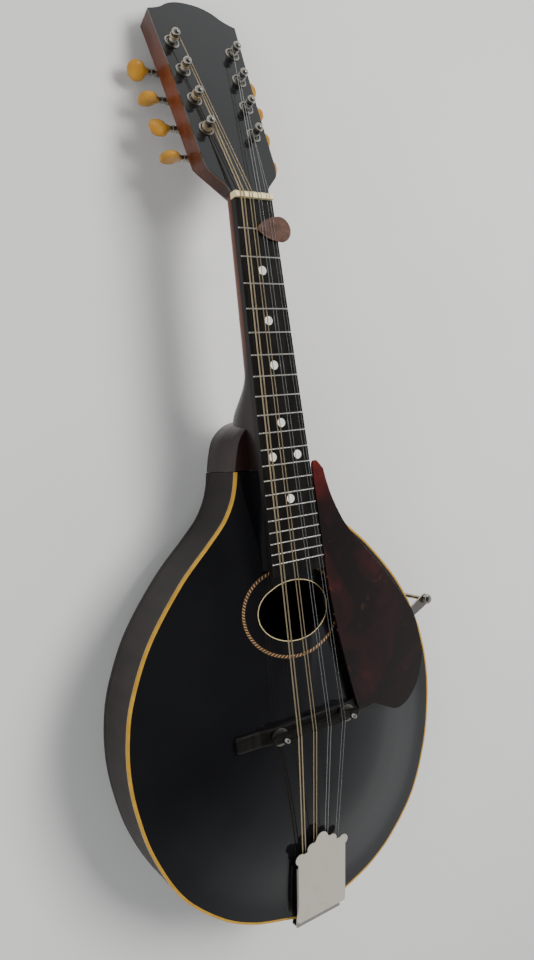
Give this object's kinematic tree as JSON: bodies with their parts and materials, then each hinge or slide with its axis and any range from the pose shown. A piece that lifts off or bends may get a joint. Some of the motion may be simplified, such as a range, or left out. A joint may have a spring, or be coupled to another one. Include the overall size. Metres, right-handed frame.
{
  "type": "mandolin",
  "caption": "Carved-top oval-hole mandolin: arched hollow body, tilted-back neck with fretted board, geared tuners, adjustable bridge, tailpiece, raised pickguard and clamp.",
  "frame": {"origin": "middle of the base of the bounding box; the base is the level of the headstock tip, which the instrument and the crown of its back rest on", "axes": "+X towards the treble side, +Y from the tailpiece to the headstock, +Z out of the soundboard, square to the plane of the sides"},
  "size_m": [0.254, 0.6584, 0.0954],
  "materials": {
    "black_lacquer": "black stain under gloss lacquer",
    "side_stain": "dark brown-black stain, satin",
    "mahogany": "red-brown stained mahogany, polished",
    "spruce": "bare spruce",
    "ebony": "oiled ebony",
    "ivoroid": "aged cream celluloid",
    "bone": "polished bone",
    "rope": "rope-pattern wood inlay",
    "nickel": "nickel plate, worn",
    "bronze_wound": "bronze-wound string",
    "plain_steel": "plain steel string",
    "tortoise": "mottled tortoiseshell celluloid",
    "horn": "brown celluloid"
  },
  "bodies": {
    "instrument": {"headstock_veneer": "black_lacquer", "tuner_plate_bass": "nickel", "tuner_plate_treble": "nickel", "neck": "mahogany", "fretboard": "ebony", "nut": "bone", "tailpiece_frame": "nickel", "soundboard": "black_lacquer", "rosette": "rope", "soundhole_binding": "ivoroid", "back": "side_stain", "rim": "side_stain", "body_binding": "ivoroid", "top_lining": "spruce", "back_lining": "spruce", "tail_block": "mahogany", "neck_block": "mahogany", "tone_bar": "spruce", "bridge_base": "ebony", "string_1": "bronze_wound", "string_2": "bronze_wound", "string_3": "bronze_wound", "string_4": "bronze_wound", "string_5": "plain_steel", "string_6": "plain_steel", "string_7": "plain_steel", "string_8": "plain_steel", "pickguard": "tortoise", "clamp_arm": "nickel"},
    "tuner_key_1": {"worm_shaft_1": "nickel", "tuner_button_1": "ivoroid"},
    "post_1": {"tuner_post_1": "nickel"},
    "tuner_key_2": {"worm_shaft_2": "nickel", "tuner_button_2": "ivoroid"},
    "post_2": {"tuner_post_2": "nickel"},
    "tuner_key_3": {"worm_shaft_3": "nickel", "tuner_button_3": "ivoroid"},
    "post_3": {"tuner_post_3": "nickel"},
    "tuner_key_4": {"worm_shaft_4": "nickel", "tuner_button_4": "ivoroid"},
    "post_4": {"tuner_post_4": "nickel"},
    "tuner_key_5": {"worm_shaft_5": "nickel", "tuner_button_5": "ivoroid"},
    "post_5": {"tuner_post_5": "nickel"},
    "tuner_key_6": {"worm_shaft_6": "nickel", "tuner_button_6": "ivoroid"},
    "post_6": {"tuner_post_6": "nickel"},
    "tuner_key_7": {"worm_shaft_7": "nickel", "tuner_button_7": "ivoroid"},
    "post_7": {"tuner_post_7": "nickel"},
    "tuner_key_8": {"worm_shaft_8": "nickel", "tuner_button_8": "ivoroid"},
    "post_8": {"tuner_post_8": "nickel"},
    "saddle": {"bridge_saddle": "ebony"},
    "wheel_bass": {"thumbwheel_bass": "nickel"},
    "wheel_treble": {"thumbwheel_treble": "nickel"},
    "cover": {"tailpiece_cover": "nickel"},
    "clamp_screw_body": {"clamp_screw": "nickel"},
    "clamp_jaw_body": {"clamp_jaw": "nickel"},
    "pick": {"plectrum": "horn"}
  },
  "joints": [
    {"name": "tuner_1_turn", "type": "hinge", "parent": "instrument", "child": "tuner_key_1", "pos_m": [-0.01809, 0.21066, 0.0369], "axis": [-0.9972, -0.0702, 0.0263], "continuous": true},
    {"name": "post_1_turn", "type": "hinge", "parent": "instrument", "child": "post_1", "pos_m": [-0.0186, 0.22429, 0.05379], "axis": [0, 0.3507, 0.9365], "continuous": true},
    {"name": "tuner_2_turn", "type": "hinge", "parent": "instrument", "child": "tuner_key_2", "pos_m": [-0.01989, 0.23308, 0.0285], "axis": [-0.9972, -0.0702, 0.0263], "continuous": true},
    {"name": "post_2_turn", "type": "hinge", "parent": "instrument", "child": "post_2", "pos_m": [-0.0204, 0.2467, 0.0454], "axis": [0, 0.3507, 0.9365], "continuous": true},
    {"name": "tuner_3_turn", "type": "hinge", "parent": "instrument", "child": "tuner_key_3", "pos_m": [-0.02168, 0.25549, 0.02011], "axis": [-0.9972, -0.0702, 0.0263], "continuous": true},
    {"name": "post_3_turn", "type": "hinge", "parent": "instrument", "child": "post_3", "pos_m": [-0.0222, 0.26911, 0.03701], "axis": [0, 0.3507, 0.9365], "continuous": true},
    {"name": "tuner_4_turn", "type": "hinge", "parent": "instrument", "child": "tuner_key_4", "pos_m": [-0.02348, 0.2779, 0.01172], "axis": [-0.9972, -0.0702, 0.0263], "continuous": true},
    {"name": "post_4_turn", "type": "hinge", "parent": "instrument", "child": "post_4", "pos_m": [-0.024, 0.29152, 0.02862], "axis": [0, 0.3507, 0.9365], "continuous": true},
    {"name": "tuner_5_turn", "type": "hinge", "parent": "instrument", "child": "tuner_key_5", "pos_m": [0.02348, 0.2779, 0.01172], "axis": [0.9972, -0.0702, 0.0263], "continuous": true},
    {"name": "post_5_turn", "type": "hinge", "parent": "instrument", "child": "post_5", "pos_m": [0.024, 0.29152, 0.02862], "axis": [0, 0.3507, 0.9365], "continuous": true},
    {"name": "tuner_6_turn", "type": "hinge", "parent": "instrument", "child": "tuner_key_6", "pos_m": [0.02168, 0.25549, 0.02011], "axis": [0.9972, -0.0702, 0.0263], "continuous": true},
    {"name": "post_6_turn", "type": "hinge", "parent": "instrument", "child": "post_6", "pos_m": [0.0222, 0.26911, 0.03701], "axis": [0, 0.3507, 0.9365], "continuous": true},
    {"name": "tuner_7_turn", "type": "hinge", "parent": "instrument", "child": "tuner_key_7", "pos_m": [0.01989, 0.23308, 0.0285], "axis": [0.9972, -0.0702, 0.0263], "continuous": true},
    {"name": "post_7_turn", "type": "hinge", "parent": "instrument", "child": "post_7", "pos_m": [0.0204, 0.2467, 0.0454], "axis": [0, 0.3507, 0.9365], "continuous": true},
    {"name": "tuner_8_turn", "type": "hinge", "parent": "instrument", "child": "tuner_key_8", "pos_m": [0.01809, 0.21066, 0.0369], "axis": [0.9972, -0.0702, 0.0263], "continuous": true},
    {"name": "post_8_turn", "type": "hinge", "parent": "instrument", "child": "post_8", "pos_m": [0.0186, 0.22429, 0.05379], "axis": [0, 0.3507, 0.9365], "continuous": true},
    {"name": "saddle_lift", "type": "slide", "parent": "instrument", "child": "saddle", "axis": [0, 0, 1], "range_m": [-0.001, 0.001], "deforming": ["string_1", "string_2", "string_3", "string_4", "string_5", "string_6", "string_7", "string_8"]},
    {"name": "wheel_bass_turn", "type": "hinge", "parent": "saddle", "child": "wheel_bass", "pos_m": [-0.028, -0.18183, 0.08484], "axis": [0, 0, 1], "range_deg": [-450, 450]},
    {"name": "wheel_treble_turn", "type": "hinge", "parent": "saddle", "child": "wheel_treble", "pos_m": [0.028, -0.18183, 0.08484], "axis": [0, 0, 1], "range_deg": [-450, 450]},
    {"name": "cover_slide", "type": "slide", "parent": "instrument", "child": "cover", "axis": [0, 0.989, 0.1478], "range_m": [0, 0.009]},
    {"name": "clamp_screw_turn", "type": "hinge", "parent": "instrument", "child": "clamp_screw_body", "pos_m": [0.11644, -0.11973, 0.06484], "axis": [0, 0, 1], "range_deg": [0, 1440]},
    {"name": "clamp_jaw_open", "type": "slide", "parent": "instrument", "child": "clamp_jaw_body", "axis": [0, 0, -1], "range_m": [0, 0.004]},
    {"name": "plectrum_slide", "type": "slide", "parent": "instrument", "child": "pick", "axis": [1, 0, 0], "range_m": [0, 0.045]}
  ],
  "couplings": [
    {"joint": "post_1_turn", "follows": "tuner_1_turn", "ratio": -0.071429},
    {"joint": "post_2_turn", "follows": "tuner_2_turn", "ratio": -0.071429},
    {"joint": "post_3_turn", "follows": "tuner_3_turn", "ratio": -0.071429},
    {"joint": "post_4_turn", "follows": "tuner_4_turn", "ratio": -0.071429},
    {"joint": "post_5_turn", "follows": "tuner_5_turn", "ratio": -0.071429},
    {"joint": "post_6_turn", "follows": "tuner_6_turn", "ratio": -0.071429},
    {"joint": "post_7_turn", "follows": "tuner_7_turn", "ratio": -0.071429},
    {"joint": "post_8_turn", "follows": "tuner_8_turn", "ratio": -0.071429},
    {"joint": "wheel_bass_turn", "follows": "saddle_lift", "rad_per_m": 7854},
    {"joint": "wheel_treble_turn", "follows": "saddle_lift", "rad_per_m": 7854},
    {"joint": "clamp_screw_turn", "follows": "clamp_jaw_open", "rad_per_m": 6283.2}
  ]
}
